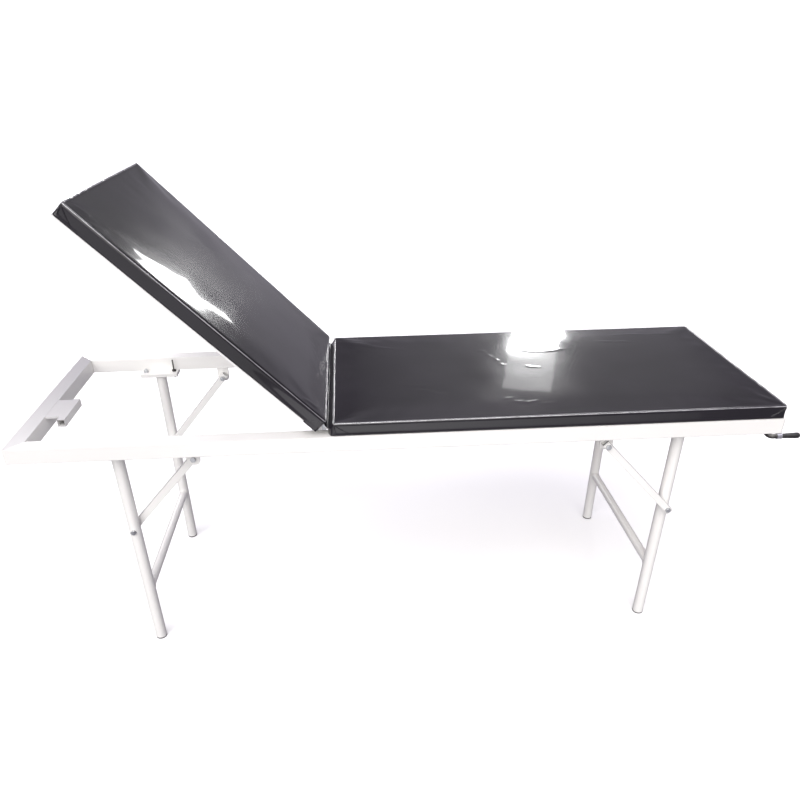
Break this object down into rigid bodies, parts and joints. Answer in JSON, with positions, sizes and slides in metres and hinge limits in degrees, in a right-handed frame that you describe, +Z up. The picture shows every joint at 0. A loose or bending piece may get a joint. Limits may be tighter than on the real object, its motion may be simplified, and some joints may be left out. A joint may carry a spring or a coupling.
{
  "type": "examination couch",
  "caption": "Two-section examination couch: white tube frame on braced round legs, black vinyl mattresses, and a backrest raised by a foot-end crank and screw.",
  "frame": {"origin": "middle of the couch's overall footprint, crank included, on the floor", "axes": "+X towards the foot end with the crank, +Y from the near side to the far side, +Z up; the backrest is at the head end, -X"},
  "size_m": [2.0916, 0.6, 1.2209],
  "materials": {
    "white_paint": "gloss",
    "white_board": "satin",
    "black_vinyl": "gloss",
    "foam": "matte",
    "plywood": "matte",
    "zinc_steel": "satin",
    "dark_steel": "satin",
    "chrome": "polished",
    "brass": "satin",
    "nylon": "satin",
    "grey_rubber": "matte",
    "black_plastic": "satin"
  },
  "bodies": {
    "frame": {"side_rail_near": "white_paint", "side_rail_far": "white_paint", "head_rail": "white_paint", "foot_rail": "white_paint", "hinge_cross_tube": "white_paint", "guide_cross_tube_head": "white_paint", "guide_cross_tube_foot": "white_paint", "seat_cross_tube": "white_paint", "seat_deck": "plywood", "seat_foam": "foam", "seat_cover": "black_vinyl", "crossbar_head": "white_paint", "crossbar_foot": "white_paint", "clamp_stud": "dark_steel", "accessory_socket": "white_paint", "guide_bush_head": "nylon", "guide_bush_foot": "nylon", "screw_bush": "brass", "hinge_pin_near": "zinc_steel", "hinge_pin_far": "zinc_steel", "leg_head_near": "white_paint", "foot_plug_head_near": "grey_rubber", "brace_head_near": "white_paint", "brace_head_near_bolt_upper": "zinc_steel", "brace_head_near_bolt_lower": "zinc_steel", "leg_head_far": "white_paint", "foot_plug_head_far": "grey_rubber", "brace_head_far": "white_paint", "brace_head_far_bolt_upper": "zinc_steel", "brace_head_far_bolt_lower": "zinc_steel", "leg_foot_near": "white_paint", "foot_plug_foot_near": "grey_rubber", "brace_foot_near": "white_paint", "brace_foot_near_bolt_upper": "zinc_steel", "brace_foot_near_bolt_lower": "zinc_steel", "leg_foot_far": "white_paint", "foot_plug_foot_far": "grey_rubber", "brace_foot_far": "white_paint", "brace_foot_far_bolt_upper": "zinc_steel", "brace_foot_far_bolt_lower": "zinc_steel"},
    "backrest": {"backrest_head_tube": "white_paint", "backrest_mid_tube": "white_paint", "backrest_side_tube_near": "white_paint", "backrest_side_tube_far": "white_paint", "backrest_hinge_tube": "white_paint", "backrest_panel": "white_board", "backrest_foam": "foam", "backrest_cover": "black_vinyl", "drive_pin": "zinc_steel"},
    "push_drive": {"drive_yoke": "zinc_steel", "push_tube": "white_paint", "drive_nut": "brass"},
    "crank": {"lead_screw": "zinc_steel", "thrust_collar_inner": "zinc_steel", "thrust_collar_outer": "zinc_steel", "crank_arm": "dark_steel", "crank_ferrule": "chrome", "grip_spindle": "zinc_steel"},
    "grip": {"crank_grip": "black_plastic"}
  },
  "joints": [
    {"name": "backrest_tilt", "type": "hinge", "parent": "frame", "child": "backrest", "pos_m": [-0.28445, 0, 0.674], "axis": [0, 1, 0], "range_deg": [-46, 24]},
    {"name": "push_slide", "type": "slide", "parent": "frame", "child": "push_drive", "axis": [-1, 0, 0], "range_m": [-0.0985, 0.05163]},
    {"name": "crank_turn", "type": "hinge", "parent": "frame", "child": "crank", "pos_m": [0.95175, 0, 0.55], "axis": [1, 0, 0], "range_deg": [-3533, 1845.7]},
    {"name": "grip_spin", "type": "hinge", "parent": "crank", "child": "grip", "pos_m": [0.98655, -0.14998, 0.53635], "axis": [1, 0, 0], "continuous": true}
  ],
  "couplings": [
    {"joint": "push_slide", "follows": "backrest_tilt", "m_per_rad": 0.12206},
    {"joint": "crank_turn", "follows": "backrest_tilt", "ratio": 76.695}
  ]
}
